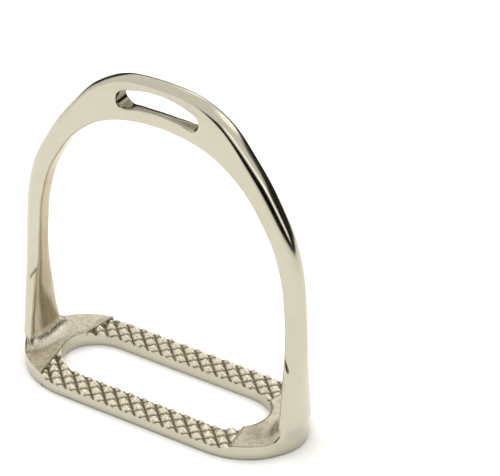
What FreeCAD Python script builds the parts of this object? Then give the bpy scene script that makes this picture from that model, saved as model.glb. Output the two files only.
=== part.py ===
import FreeCAD, Part
import math
import os

# Stirrup iron, millimetres. X runs along the tread, -Y is the front, Z is up.
# The origin is the centre of the underside of the tread.

doc = FreeCAD.newDocument("stirrup_iron")
sheet = doc.addObject("Spreadsheet::Sheet", "Dimensions")

DIMENSIONS = [
    ("tread_half_length", 69.6),
    ("tread_half_depth", 27.3),
    ("tread_end_length", 32.4),
    ("slot_half_length", 52.0),
    ("slot_half_depth", 15.5),
    ("slot_end_length", 17.6),
    ("tread_height", 7.3),
    ("hatch_limit", 48.0),
    ("edge_round", 1.0),
    ("lip_width", 0.9),
    ("lip_height", 0.4),
    ("groove_pitch", 5.1),
    ("groove_depth", 2.3),
    ("groove_half_width", 2.42),
    ("eye_half_length", 20.1),
    ("eye_edge_round", 0.7),
]

# Arch stations from the nick above the foot to the middle of the crown:
# inner edge x, z; crest of the outer rim x, z; rim bulge; half depth; inner bulge;
# squareness of the rim's rear half.
ARCH = [
    (63.9, 42.0, 71.0, 42.0, 4.4, 5.8, 1.6, 2.0),
    (63.4, 46.0, 71.1, 46.0, 4.4, 4.8, 1.2, 2.0),
    (63.0, 51.0, 71.2, 51.0, 4.4, 4.05, 0.9, 2.0),
    (62.7, 58.0, 71.0, 58.2, 4.4, 3.65, 0.7, 2.1),
    (62.0, 68.0, 70.4, 68.6, 4.4, 3.6, 0.6, 2.2),
    (61.1, 77.5, 69.6, 79.0, 4.4, 3.65, 0.5, 2.3),
    (59.0, 88.0, 67.6, 90.8, 4.3, 3.75, 0.5, 2.5),
    (55.8, 98.0, 64.3, 101.6, 4.2, 3.9, 0.4, 2.7),
    (50.5, 108.2, 58.7, 112.7, 4.0, 4.1, 0.4, 3.0),
    (44.3, 117.8, 51.8, 124.3, 3.7, 4.2, 0.4, 3.0),
    (37.2, 124.9, 42.9, 136.1, 3.2, 4.2, 0.4, 3.0),
    (29.5, 130.4, 33.3, 146.1, 2.5, 4.1, 0.4, 3.0),
    (23.2, 133.2, 25.6, 151.0, 1.9, 3.9, 0.4, 3.0),
    (16.0, 135.2, 17.2, 154.6, 1.5, 3.7, 0.4, 2.8),
    (8.2, 136.4, 8.6, 156.2, 1.4, 3.6, 0.4, 2.6),
    (0.0, 136.9, 0.0, 156.5, 1.4, 3.6, 0.4, 2.6),
]
CROWN_FIRST = 11

# Foot stations: height; half depth; inner edge x; outer edge x; crest x; inner crest x.
FOOT = [
    (7.3, 12.2, 62.4, 66.0, 70.6, 57.0),
    (8.6, 11.8, 63.4, 66.1, 70.8, 58.9),
    (10.5, 11.4, 64.0, 66.0, 70.9, 60.3),
    (13.0, 10.9, 64.3, 65.9, 71.0, 61.2),
    (17.0, 10.1, 64.4, 66.0, 71.0, 61.8),
    (22.0, 9.2, 64.4, 66.4, 70.9, 62.0),
    (28.0, 8.2, 64.3, 66.9, 70.8, 62.1),
    (35.0, 7.0, 64.1, 66.9, 70.9, 62.2),
    (42.0, 5.8, 63.9, 66.6, 71.0, 62.3),
]

# Heel stations under the foot: height; half depth; outer edge x; crest x.
HEEL = [
    (0.0, 9.0, 64.6, 68.2),
    (1.2, 10.6, 65.4, 69.4),
    (3.2, 11.6, 65.9, 70.2),
    (7.3, 12.2, 66.0, 70.6),
]

# Eye outline, upper and lower edge: x, z.
EYE_TOP = [(0.0, 152.4), (6.5, 151.8), (12.5, 150.6), (17.0, 149.2)]
EYE_BOTTOM = [(0.0, 143.1), (6.5, 142.7), (12.5, 141.8), (16.5, 141.0)]
EYE_TIP = [(19.2, 147.6), (20.1, 145.0), (19.0, 142.0)]


def cell(row, value, alias):
    """Write one driving number in the sheet and give it its name."""
    sheet.set("A%d" % row, alias)
    sheet.set("B%d" % row, str(value))
    sheet.setAlias("B%d" % row, alias)


def fill_sheet():
    """Write every driving number."""
    row = 1
    for alias, value in DIMENSIONS:
        cell(row, value, alias)
        row += 1
    for index, station in enumerate(ARCH):
        cell(row, station[0], "arch_inner_across_%s" % WORDS[index])
        cell(row + 1, station[1], "arch_inner_height_%s" % WORDS[index])
        row += 2
    for index, station in enumerate(FOOT):
        cell(row, station[0], "foot_height_%s" % WORDS[index])
        row += 1
    for index, station in enumerate(HEEL):
        cell(row, station[0], "heel_height_%s" % WORDS[index])
        row += 1


WORDS = ["one", "two", "three", "four", "five", "six", "seven", "eight", "nine",
         "ten", "eleven", "twelve", "thirteen", "fourteen", "fifteen", "sixteen"]

fill_sheet()
doc.recompute()


def dim(alias):
    """Read one driving number."""
    return float(sheet.get(alias))


def new_body(name, label):
    """Make a named body."""
    body = doc.addObject("PartDesign::Body", name)
    body.Label = label
    return body


def origin_plane(body, role):
    """Find one of the body's own origin planes."""
    for feature in body.Origin.OriginFeatures:
        if feature.Role == role:
            return feature
    raise ValueError("no origin plane " + role)


def new_sketch(body, name, role):
    """Make a sketch attached to one of the body's origin planes."""
    sketch = body.newObject("Sketcher::SketchObject", name)
    sketch.AttachmentSupport = [(origin_plane(body, role), "")]
    sketch.MapMode = "FlatFace"
    return sketch


def flat(x, y):
    """A point in a sketch."""
    return FreeCAD.Vector(x, y, 0.0)


def line(start, end):
    """A straight sketch edge."""
    return Part.LineSegment(flat(*start), flat(*end))


def smooth(points):
    """A smooth sketch edge through the points."""
    curve = Part.BSplineCurve()
    curve.interpolate([flat(*point) for point in points])
    return curve


def ellipse_arc(centre, across, along, first, last):
    """Part of an ellipse with its long axis across the sketch, angles in radians."""
    return Part.ArcOfEllipse(Part.Ellipse(flat(*centre), across, along), first, last)


def ring_section(sketch, inner, outer, crest, half, inner_crest, square=2.0):
    """Closed section: flat front and rear strips, bulged rim, lightly rounded inner face.

    The rim is an ellipse in front; a squareness above 2 fills out its rear corner.
    """
    rim = []
    for step in range(-4, 5):
        angle = math.radians(22.5 * step)
        power = 2.0 / square if step > 0 else 1.0
        out = abs(math.cos(angle)) ** power
        across = math.copysign(abs(math.sin(angle)) ** power, angle)
        rim.append((outer + (crest - outer) * out, half * across))
    rim[0] = (outer, -half)
    rim[-1] = (outer, half)
    face = []
    for step in range(9):
        angle = math.radians(90.0 - 22.5 * step)
        face.append((inner - (inner - inner_crest) * math.cos(angle), half * math.sin(angle)))
    sketch.addGeometry(line((inner, -half), (outer, -half)), False)
    sketch.addGeometry(smooth(rim), False)
    sketch.addGeometry(line((outer, half), (inner, half)), False)
    sketch.addGeometry(smooth(face), False)


def arch_sketch(body, name, index, side):
    """Section of the arch at one station, on the side given as 1 or -1."""
    inner_x, inner_z, crest_x, crest_z, bulge, half, inner_bulge, square = ARCH[index]
    width = math.hypot(crest_x - inner_x, crest_z - inner_z)
    slope = math.degrees(math.atan2(crest_z - inner_z, side * (crest_x - inner_x)))
    if index == len(ARCH) - 1:
        slope = 90.0
    sketch = new_sketch(body, name, "XY_Plane")
    turn = FreeCAD.Rotation(FreeCAD.Vector(0, 1, 0), -slope)
    sketch.AttachmentOffset = FreeCAD.Placement(
        FreeCAD.Vector(side * inner_x, 0, inner_z), turn)
    word = WORDS[index]
    sign = "" if side > 0 else "-"
    sketch.setExpression("AttachmentOffset.Base.x", sign + "Dimensions.arch_inner_across_" + word)
    sketch.setExpression("AttachmentOffset.Base.z", "Dimensions.arch_inner_height_" + word)
    ring_section(sketch, 0.0, width - bulge, width, half, -inner_bulge, square)
    return sketch


def loft(body, name, sketches):
    """Additive loft through the sketches in order."""
    feature = body.newObject("PartDesign::AdditiveLoft", name)
    feature.Profile = sketches[0]
    feature.Sections = [(sketch, [""]) for sketch in sketches[1:]]
    body.Tip = feature
    return feature


def mirrored(source, name, normal):
    """A mirrored copy of a finished piece."""
    copy = doc.addObject("Part::Mirroring", name)
    copy.Label = name
    copy.Source = source
    copy.Normal = normal
    copy.Base = FreeCAD.Vector(0, 0, 0)
    return copy


# Crown: the eye plate, lofted from one shoulder over the top to the other.
crown = new_body("CrownBody", "crown")
crown_sketches = []
for number in range(CROWN_FIRST, len(ARCH)):
    crown_sketches.append(arch_sketch(crown, "CrownRight%d" % number, number, 1))
for number in range(len(ARCH) - 2, CROWN_FIRST - 1, -1):
    crown_sketches.append(arch_sketch(crown, "CrownLeft%d" % number, number, -1))
doc.recompute()
loft(crown, "CrownLoft", crown_sketches)
doc.recompute()

eye = new_sketch(crown, "EyeOutline", "XZ_Plane")
eye_loop = [(-x, z) for x, z in reversed(EYE_TOP[1:])] + EYE_TOP + EYE_TIP
eye_loop += list(reversed(EYE_BOTTOM)) + [(-x, z) for x, z in EYE_BOTTOM[1:]]
eye_loop += [(-x, z) for x, z in reversed(EYE_TIP)]
eye_curve = Part.BSplineCurve()
eye_curve.interpolate([flat(*point) for point in eye_loop], PeriodicFlag=True)
eye.addGeometry(eye_curve, False)
doc.recompute()
eye_pocket = crown.newObject("PartDesign::Pocket", "EyePocket")
eye_pocket.Profile = eye
eye_pocket.SideType = "Symmetric"
eye_pocket.Length = 20.0
eye_pocket.setExpression("Length", "Dimensions.eye_half_length")
crown.Tip = eye_pocket
doc.recompute()


def eye_rims(shape):
    """Names of the long closed edges round the eye on the front and rear faces."""
    names = []
    for index, edge in enumerate(shape.Edges):
        box = edge.BoundBox
        in_eye = box.XLength > 38.0 and box.XLength < 42.0 and box.ZMin > 138.0
        if in_eye and box.YLength < 1.5 and abs(box.YMin) > 2.5:
            names.append("Edge%d" % (index + 1))
    return names


eye_fillet = crown.newObject("PartDesign::Fillet", "EyeRounding")
eye_fillet.Base = (eye_pocket, eye_rims(eye_pocket.Shape))
eye_fillet.Radius = 0.7
eye_fillet.setExpression("Radius", "Dimensions.eye_edge_round")
crown.Tip = eye_fillet
doc.recompute()

# Branches: the curved arms from the eye plate down to the nick.
right_branch = new_body("RightBranchBody", "right_branch")
branch_sketches = []
for number in range(0, CROWN_FIRST + 1):
    branch_sketches.append(arch_sketch(right_branch, "Branch%d" % number, number, 1))
doc.recompute()
loft(right_branch, "BranchLoft", branch_sketches)
doc.recompute()

# Feet: the flared part between the nick and the tread.
right_foot = new_body("RightFootBody", "right_foot")
foot_sketches = []
for number, (height, half, inner, outer, crest, inner_crest) in enumerate(FOOT):
    sketch = new_sketch(right_foot, "Foot%d" % number, "XY_Plane")
    sketch.AttachmentOffset = FreeCAD.Placement(
        FreeCAD.Vector(0, 0, height), FreeCAD.Rotation())
    sketch.setExpression("AttachmentOffset.Base.z", "Dimensions.foot_height_" + WORDS[number])
    ring_section(sketch, inner, outer, crest, half, inner_crest)
    foot_sketches.append(sketch)
doc.recompute()
loft(right_foot, "FootLoft", foot_sketches)
doc.recompute()

# Tread end: the plain half-oval plate, the heel under the foot and the thin lip.
end_centre = dim("tread_half_length") - dim("tread_end_length")
slot_centre = dim("slot_half_length") - dim("slot_end_length")
limit = dim("hatch_limit")


def angle_at(x, centre, length):
    """Angle on an end ellipse where it reaches the given x."""
    return math.acos((x - centre) / length)


def depth_at(x, centre, length, half):
    """Half depth of an end ellipse at the given x."""
    return half * math.sin(angle_at(x, centre, length))


right_end = new_body("RightEndBody", "right_tread_end")
end_outline = new_sketch(right_end, "EndOutline", "XY_Plane")
outer_angle = angle_at(limit, end_centre, dim("tread_end_length"))
slot_angle = angle_at(limit, slot_centre, dim("slot_end_length"))
outer_depth = depth_at(limit, end_centre, dim("tread_end_length"), dim("tread_half_depth"))
slot_depth = depth_at(limit, slot_centre, dim("slot_end_length"), dim("slot_half_depth"))
end_outline.addGeometry(ellipse_arc((end_centre, 0), dim("tread_end_length"),
                                    dim("tread_half_depth"), -outer_angle, outer_angle), False)
end_outline.addGeometry(line((limit, outer_depth), (limit, slot_depth)), False)
end_outline.addGeometry(ellipse_arc((slot_centre, 0), dim("slot_end_length"),
                                    dim("slot_half_depth"), -slot_angle, slot_angle), False)
end_outline.addGeometry(line((limit, -slot_depth), (limit, -outer_depth)), False)
doc.recompute()
end_pad = right_end.newObject("PartDesign::Pad", "EndPad")
end_pad.Profile = end_outline
end_pad.Length = 7.3
end_pad.setExpression("Length", "Dimensions.tread_height")
right_end.Tip = end_pad
doc.recompute()


def bottom_edges(shape, keep):
    """Names of the edges on the underside that pass the given test."""
    names = []
    for index, edge in enumerate(shape.Edges):
        box = edge.BoundBox
        if box.ZMax < 0.01 and keep(edge):
            names.append("Edge%d" % (index + 1))
    return names


def is_outer_end(edge):
    """True for the outer oval edge of the end plate."""
    return edge.BoundBox.XMax > dim("slot_half_length") + 5.0


end_round = right_end.newObject("PartDesign::Fillet", "EndRounding")
end_round.Base = (end_pad, bottom_edges(end_pad.Shape, is_outer_end))
end_round.Radius = 1.0
end_round.setExpression("Radius", "Dimensions.edge_round")
right_end.Tip = end_round
doc.recompute()

heel_sketches = []
for number, (height, half, outer, crest) in enumerate(HEEL):
    sketch = new_sketch(right_end, "Heel%d" % number, "XY_Plane")
    sketch.AttachmentOffset = FreeCAD.Placement(
        FreeCAD.Vector(0, 0, height), FreeCAD.Rotation())
    sketch.setExpression("AttachmentOffset.Base.z", "Dimensions.heel_height_" + WORDS[number])
    ring_section(sketch, 61.0, outer, crest, half, 58.0)
    heel_sketches.append(sketch)
doc.recompute()
loft(right_end, "HeelLoft", heel_sketches)
doc.recompute()

lip = new_sketch(right_end, "LipOutline", "XY_Plane")
lip.AttachmentOffset = FreeCAD.Placement(FreeCAD.Vector(0, 0, 7.3), FreeCAD.Rotation())
lip.setExpression("AttachmentOffset.Base.z", "Dimensions.tread_height")
lip_width = dim("lip_width")
lip_x = limit + lip_width
lip_angle = angle_at(lip_x, slot_centre, dim("slot_end_length") + lip_width)
lip_depth = depth_at(lip_x, slot_centre, dim("slot_end_length") + lip_width,
                     dim("slot_half_depth") + lip_width)
rib_end = depth_at(lip_x, end_centre, dim("tread_end_length"), dim("tread_half_depth")) - 0.6
lip.addGeometry(line((limit, -rib_end), (lip_x, -rib_end)), False)
lip.addGeometry(line((lip_x, -rib_end), (lip_x, -lip_depth)), False)
lip.addGeometry(ellipse_arc((slot_centre, 0), dim("slot_end_length") + lip_width,
                            dim("slot_half_depth") + lip_width, -lip_angle, lip_angle), False)
lip.addGeometry(line((lip_x, lip_depth), (lip_x, rib_end)), False)
lip.addGeometry(line((lip_x, rib_end), (limit, rib_end)), False)
lip.addGeometry(line((limit, rib_end), (limit, slot_depth)), False)
lip.addGeometry(ellipse_arc((slot_centre, 0), dim("slot_end_length"),
                            dim("slot_half_depth"), -slot_angle, slot_angle), False)
lip.addGeometry(line((limit, -slot_depth), (limit, -rib_end)), False)
doc.recompute()
lip_pad = right_end.newObject("PartDesign::Pad", "LipPad")
lip_pad.Profile = lip
lip_pad.Length = 0.4
lip_pad.setExpression("Length", "Dimensions.lip_height")
right_end.Tip = lip_pad
doc.recompute()

# Tread bar: the front rail with its cross-cut of crossing grooves.
front_bar = new_body("FrontBarBody", "front_tread_bar")
bar_outline = new_sketch(front_bar, "BarOutline", "XY_Plane")
half_turn = math.pi
bar_outline.addGeometry(line((-end_centre, -dim("tread_half_depth")),
                             (end_centre, -dim("tread_half_depth"))), False)
bar_outline.addGeometry(ellipse_arc((end_centre, 0), dim("tread_end_length"),
                                    dim("tread_half_depth"), -half_turn / 2, -outer_angle), False)
bar_outline.addGeometry(line((limit, -outer_depth), (limit, -slot_depth)), False)
bar_outline.addGeometry(ellipse_arc((slot_centre, 0), dim("slot_end_length"),
                                    dim("slot_half_depth"), -half_turn / 2, -slot_angle), False)
bar_outline.addGeometry(line((slot_centre, -dim("slot_half_depth")),
                             (-slot_centre, -dim("slot_half_depth"))), False)
bar_outline.addGeometry(ellipse_arc((-slot_centre, 0), dim("slot_end_length"),
                                    dim("slot_half_depth"), half_turn + slot_angle,
                                    1.5 * half_turn), False)
bar_outline.addGeometry(line((-limit, -slot_depth), (-limit, -outer_depth)), False)
bar_outline.addGeometry(ellipse_arc((-end_centre, 0), dim("tread_end_length"),
                                    dim("tread_half_depth"), half_turn + outer_angle,
                                    1.5 * half_turn), False)
doc.recompute()
bar_pad = front_bar.newObject("PartDesign::Pad", "BarPad")
bar_pad.Profile = bar_outline
bar_pad.Length = 7.3
bar_pad.setExpression("Length", "Dimensions.tread_height")
front_bar.Tip = bar_pad
doc.recompute()


def is_outer_rail(edge):
    """True for the outer lower edges of the rail."""
    box = edge.BoundBox
    return box.YMin < -dim("tread_half_depth") + 3.0 and box.YMax < -24.0


bar_round = front_bar.newObject("PartDesign::Fillet", "BarRounding")
bar_round.Base = (bar_pad, bottom_edges(bar_pad.Shape, is_outer_rail))
bar_round.Radius = 1.0
bar_round.setExpression("Radius", "Dimensions.edge_round")
front_bar.Tip = bar_round
doc.recompute()

ROW_CENTRE = -21.4
GROOVES = 17


def groove_family(name, side):
    """One family of parallel V grooves running at 45 degrees over the rail."""
    sketch = new_sketch(front_bar, name + "Profile", "XZ_Plane")
    pitch = dim("groove_pitch")
    top = dim("tread_height")
    half_width = dim("groove_half_width")
    slack = half_width / dim("groove_depth") * 0.5
    first = (0.5 - GROOVES // 2) * pitch
    turn = FreeCAD.Rotation(FreeCAD.Vector(0, 1, 0), side * 45.0)
    sketch.AttachmentOffset = FreeCAD.Placement(FreeCAD.Vector(0, 0, -ROW_CENTRE), turn)
    low = (first, top - dim("groove_depth"))
    left = (first - half_width - slack, top + 0.5)
    right = (first + half_width + slack, top + 0.5)
    sketch.addGeometry(line(left, low), False)
    sketch.addGeometry(line(low, right), False)
    sketch.addGeometry(line(right, left), False)
    doc.recompute()
    groove = front_bar.newObject("PartDesign::Pocket", name)
    groove.Profile = sketch
    groove.SideType = "Symmetric"
    groove.Length = 140.0
    front_bar.Tip = groove
    doc.recompute()
    rows = front_bar.newObject("PartDesign::LinearPattern", name + "Rows")
    rows.Originals = [groove]
    rows.Direction = (sketch, ["H_Axis"])
    rows.Mode = "Spacing"
    rows.Offset = pitch
    rows.setExpression("Offset", "Dimensions.groove_pitch")
    rows.Occurrences = GROOVES
    front_bar.Tip = rows
    doc.recompute()


groove_family("GrooveOne", 1)
groove_family("GrooveTwo", -1)

# The other side of the iron is the mirror of the first.
pieces = {
    "crown": crown,
    "right_branch": right_branch,
    "left_branch": mirrored(right_branch, "left_branch", FreeCAD.Vector(1, 0, 0)),
    "right_foot": right_foot,
    "left_foot": mirrored(right_foot, "left_foot", FreeCAD.Vector(1, 0, 0)),
    "right_tread_end": right_end,
    "left_tread_end": mirrored(right_end, "left_tread_end", FreeCAD.Vector(1, 0, 0)),
    "front_tread_bar": front_bar,
    "rear_tread_bar": mirrored(front_bar, "rear_tread_bar", FreeCAD.Vector(0, 1, 0)),
}
doc.recompute()

for feature in doc.Objects:
    state = [str(word) for word in feature.State]
    if "Invalid" in state or "Error" in state:
        raise RuntimeError("%s is not valid: %s" % (feature.Name, state))

os.makedirs("parts", exist_ok=True)
for node, piece in pieces.items():
    shape = piece.Shape
    if shape.isNull() or not shape.isValid():
        raise RuntimeError(node + " has no valid shape")
    if len(shape.Solids) != 1:
        raise RuntimeError("%s has %d solids" % (node, len(shape.Solids)))
    shape.exportStep("parts/%s.step" % node)
    box = shape.BoundBox
    print("%s volume %.0f  x %.2f..%.2f  y %.2f..%.2f  z %.2f..%.2f" % (
        node, shape.Volume, box.XMin, box.XMax, box.YMin, box.YMax, box.ZMin, box.ZMax))
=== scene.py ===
import math

import bmesh
import bpy
import numpy as np
from mathutils import Matrix, Vector


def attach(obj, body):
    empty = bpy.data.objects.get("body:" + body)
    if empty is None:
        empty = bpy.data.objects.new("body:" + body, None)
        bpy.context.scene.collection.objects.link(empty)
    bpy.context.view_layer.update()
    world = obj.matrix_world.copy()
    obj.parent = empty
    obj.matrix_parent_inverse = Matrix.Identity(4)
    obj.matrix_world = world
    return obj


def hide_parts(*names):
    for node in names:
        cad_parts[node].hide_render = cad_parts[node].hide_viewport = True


bl_info = {
    "name": "Stirrup Iron",
    "version": (1, 0, 0),
    "blender": (4, 5, 0),
    "location": "3D View > Sidebar > Stirrup",
    "description": "Polished stirrup iron with an eye, flared feet and a cross-cut tread",
    "category": "Add Mesh",
}

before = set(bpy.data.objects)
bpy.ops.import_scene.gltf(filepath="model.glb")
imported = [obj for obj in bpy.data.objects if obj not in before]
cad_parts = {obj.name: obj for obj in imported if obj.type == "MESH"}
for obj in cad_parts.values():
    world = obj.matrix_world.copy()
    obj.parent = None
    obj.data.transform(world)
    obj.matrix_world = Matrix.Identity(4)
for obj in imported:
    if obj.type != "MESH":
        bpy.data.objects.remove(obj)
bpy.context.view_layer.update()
MM = 0.001

# Stations of the right half, from the foot up to the middle of the crown, millimetres:
# inner edge x, z; crest of the rim x, z; rim bulge; half depth; inner bulge;
# squareness of the inner face and of the rim's rear half.
STATIONS = [
    (64.3, 13.0, 71.0, 13.0, 5.1, 10.9, 3.1, 2.4, 2.0),
    (64.4, 17.0, 71.0, 17.0, 5.0, 10.1, 2.6, 2.4, 2.0),
    (64.4, 22.0, 70.9, 22.0, 4.5, 9.2, 2.4, 2.4, 2.0),
    (64.3, 28.0, 70.8, 28.0, 3.9, 8.2, 2.2, 2.4, 2.0),
    (64.1, 35.0, 70.9, 35.0, 4.0, 7.0, 1.9, 2.5, 2.0),
    (63.9, 42.0, 71.0, 42.0, 4.4, 5.8, 1.6, 2.6, 2.0),
    (63.4, 46.0, 71.1, 46.0, 4.4, 4.8, 1.2, 2.8, 2.1),
    (63.0, 51.0, 71.15, 51.0, 4.4, 4.05, 0.9, 3.0, 2.2),
    (62.7, 58.0, 71.0, 58.2, 4.4, 3.65, 0.7, 3.2, 2.1),
    (62.0, 68.0, 70.4, 68.6, 4.4, 3.6, 0.6, 3.4, 2.2),
    (61.1, 77.5, 69.6, 79.0, 4.4, 3.65, 0.5, 3.4, 2.3),
    (59.0, 88.0, 67.6, 90.8, 4.3, 3.75, 0.5, 3.4, 2.5),
    (55.8, 98.0, 64.3, 101.6, 4.2, 3.9, 0.4, 3.4, 2.7),
    (50.5, 108.2, 58.7, 112.7, 4.0, 4.1, 0.4, 3.4, 3.0),
    (44.3, 117.8, 51.8, 124.3, 3.7, 4.2, 0.4, 3.4, 3.0),
    (37.2, 124.9, 42.9, 136.1, 3.2, 4.2, 0.4, 3.4, 3.0),
    (29.5, 130.4, 33.5, 146.5, 2.5, 4.1, 0.4, 3.4, 3.0),
    (23.2, 133.2, 25.8, 151.5, 1.9, 3.9, 0.4, 3.4, 3.0),
    (16.0, 135.2, 17.3, 154.9, 1.5, 3.7, 0.4, 3.4, 2.8),
    (8.2, 136.4, 8.6, 156.2, 1.4, 3.6, 0.4, 3.4, 2.6),
    (0.0, 136.9, 0.0, 156.5, 1.4, 3.6, 0.4, 3.4, 2.6),
]
NICK_STATION = 5
CROWN_STATION = 16
EYE_OUTLINE = [
    (-17.0, 149.2), (-12.5, 150.6), (-6.5, 151.8), (0.0, 152.4), (6.5, 151.8), (12.5, 150.6),
    (17.0, 149.2), (19.2, 147.6), (20.1, 145.0), (19.0, 142.0), (16.5, 141.0), (12.5, 141.8),
    (6.5, 142.7), (0.0, 143.1), (-6.5, 142.7), (-12.5, 141.8), (-16.5, 141.0), (-19.0, 142.0),
    (-20.1, 145.0), (-19.2, 147.6),
]
# Where the cross-cut stops on each side of the tread, at the rim and at the slot.
BORDERS = {
    (-1, -1): (48.0, 51.2), (-1, 1): (45.0, 48.4),
    (1, -1): (49.3, 46.9), (1, 1): (49.5, 46.7),
}
# Points round a section: outer rim, each flat side, inner face; and across a slanted border.
RIM_POINTS = 41
STRIP_POINTS = 15
FACE_POINTS = 65
BORDER_POINTS = 18
# Rings of the eye plate along its crest and down each joint; points of its sides and of the eye.
PLATE_ACROSS = 121
PLATE_DOWN = 31
PLATE_SIDE_POINTS = 10
EYE_PROFILE_POINTS = 21
EYE_STEPS = 2000
EYE_CORNERS = ((-18.6, 148.2), (18.6, 148.2), (18.2, 141.4), (-18.2, 141.4))
# The nick on each branch: its two ends as x, z, then its half width and depth.
NICK_START = (63.7, 44.6)
NICK_END = (66.0, 40.2)
NICK_WIDTH = 0.42
NICK_DEPTH = 0.55
# Foot and tread: half depth of the foot's heel, its swell past the oval, and the foot's fillet.
HEEL_HALF_DEPTH = 12.2
HEEL_SWELL = 0.9
FILLET = 5.6
# Height where the rounding under the tread starts and its tuck there.
UNDER_HEIGHT = 1.2
UNDER_TUCK = 0.18
# Points across the top of a rail, and rows along it.
RAIL_TOP_POINTS = 57
RAIL_ROWS = 401
# Edges that turn by more than this stay sharp, on the arch and on the tread.
ARCH_CREASE = math.radians(50.0)
TREAD_CREASE = math.radians(60.0)
# The metal's masks: tarnishing, partly painted shade; cast grain; the cut top; painted shade marks.
MASKS = ("tarnish_and_shade", "cast", "cut", "shade_mark")
WARM_WHITE = (1.0, 0.985, 0.955)
# Soft lights round the room: heading, inner and outer angle in degrees, and power.
SOFT_LIGHTS = (
    ((-0.25, 0.86, 0.45), 5.0, 13.0, 0.7),
    ((0.32, 0.79, 0.52), 6.0, 16.0, 0.9),
    ((0.70, -0.24, 0.62), 8.0, 20.0, 1.1),
    ((0.90, -0.08, 0.26), 5.0, 16.0, 1.5),
)
# The view: its angles in radians, then the camera's place across, up and back in millimetres.
AZIMUTH, ELEVATION, ROLL = 0.554516, 0.588985, 0.0077204
ACROSS, UPWARD, BACK = 37.040944, 67.119174, 1271.75335


# ---------------------------------------------------------------- sizes and finishes

def length(name, description, default):
    """A size that a user may change."""
    return bpy.props.FloatProperty(name=name, description=description, default=default,
                                   subtype="DISTANCE", unit="LENGTH", precision=5)


def tint(name, description, default):
    """A colour that a user may change."""
    return bpy.props.FloatVectorProperty(name=name, description=description, default=default,
                                         subtype="COLOR", size=3, min=0.0, max=1.0)


class StirrupSizes(bpy.types.PropertyGroup):
    """Sizes of the tread, of its cross-cut and of the eye's roundings."""
    tread_half_length: length("Tread half length", "Middle to the end of the tread", 0.0696)
    tread_half_depth: length("Tread half depth", "Middle to the front of the tread", 0.0273)
    tread_end_length: length("Tread end length", "Length of the oval end", 0.0324)
    slot_half_length: length("Slot half length", "Middle to the end of the slot", 0.052)
    slot_half_depth: length("Slot half depth", "Middle to the side of the slot", 0.0155)
    slot_end_length: length("Slot end length", "Length of the slot's oval end", 0.0176)
    tread_height: length("Tread height", "Thickness of the tread", 0.0073)
    edge_round: length("Edge rounding", "Rounding under the rim", 0.001)
    eye_round: length("Eye rounding", "Rounding of the eye's edges", 0.0007)
    bar_round: length("Bar rounding", "Height of the bar's rear rounding under the eye", 0.0040)
    bar_slope: length("Bar slope", "Depth of the bar's rear rounding under the eye", 0.0055)
    cut_pitch: length("Cross-cut pitch", "Distance between two cuts", 0.0051)
    cut_depth: length("Cross-cut depth", "Depth of the cuts", 0.0023)
    cut_row: length("Cross-cut row", "Middle row of points, from the slot's middle", 0.0214)
    cut_uneven: bpy.props.FloatProperty(
        name="Cross-cut unevenness", description="How much the points differ in height",
        default=0.14, min=0.0, max=1.0, subtype="FACTOR")
    cut_seed: bpy.props.IntProperty(
        name="Cross-cut seed", description="Picks the pattern of uneven points", default=4)


class StirrupFinishes(bpy.types.PropertyGroup):
    """Colours of the metal."""
    polished: tint("Polished", "Polished metal", (0.54, 0.515, 0.425))
    # Tarnishing on the inner faces; on the fronts of the tread's end plates this colour is painted
    # shade.
    tarnish_and_shade: tint("Tarnish", "Film on the faces that the polishing wheel misses", (0.42, 0.34, 0.225))
    # Painted shade: the darkest colour, laid low on the tarnished faces.
    worn: tint("Worn film", "Darkest film, low on the inner faces", (0.24, 0.195, 0.12))
    cast_light: tint("Cast, light", "Raised grain of the cast ends", (0.80, 0.74, 0.60))
    cast_dark: tint("Cast, dark", "Pits of the cast ends", (0.42, 0.38, 0.28))
    # Painted highlight: a lighter copy of the metal on the points of the cross-cut.
    cut_highlight: tint("Cut points", "Points of the cross-cut", (0.88, 0.82, 0.66))
    # Painted shade: the darkest colour, laid deeper in the cuts and on the other painted shade marks.
    valley_shade: tint("Cut valley", "Bottom of the cross-cut", (0.13, 0.11, 0.06))
    polished_roughness: bpy.props.FloatProperty(
        name="Polish", description="Roughness of the polished metal", default=0.13,
        min=0.0, max=1.0, subtype="FACTOR")


class StirrupStage(bpy.types.PropertyGroup):
    """Floor, light and camera."""
    floor_colour: tint("Floor", "Colour of the floor", (0.86, 0.86, 0.85))
    floor_radius: length("Floor radius", "Half the width of the floor", 0.9)
    key_power: bpy.props.FloatProperty(
        name="Overhead light", description="Power of the overhead soft light", default=9.0,
        min=0.0, subtype="POWER", unit="POWER")
    lens: bpy.props.FloatProperty(
        name="Lens", description="Focal length of the camera", default=209.61,
        subtype="DISTANCE_CAMERA", unit="CAMERA")


# ---------------------------------------------------------------- node writing

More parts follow.
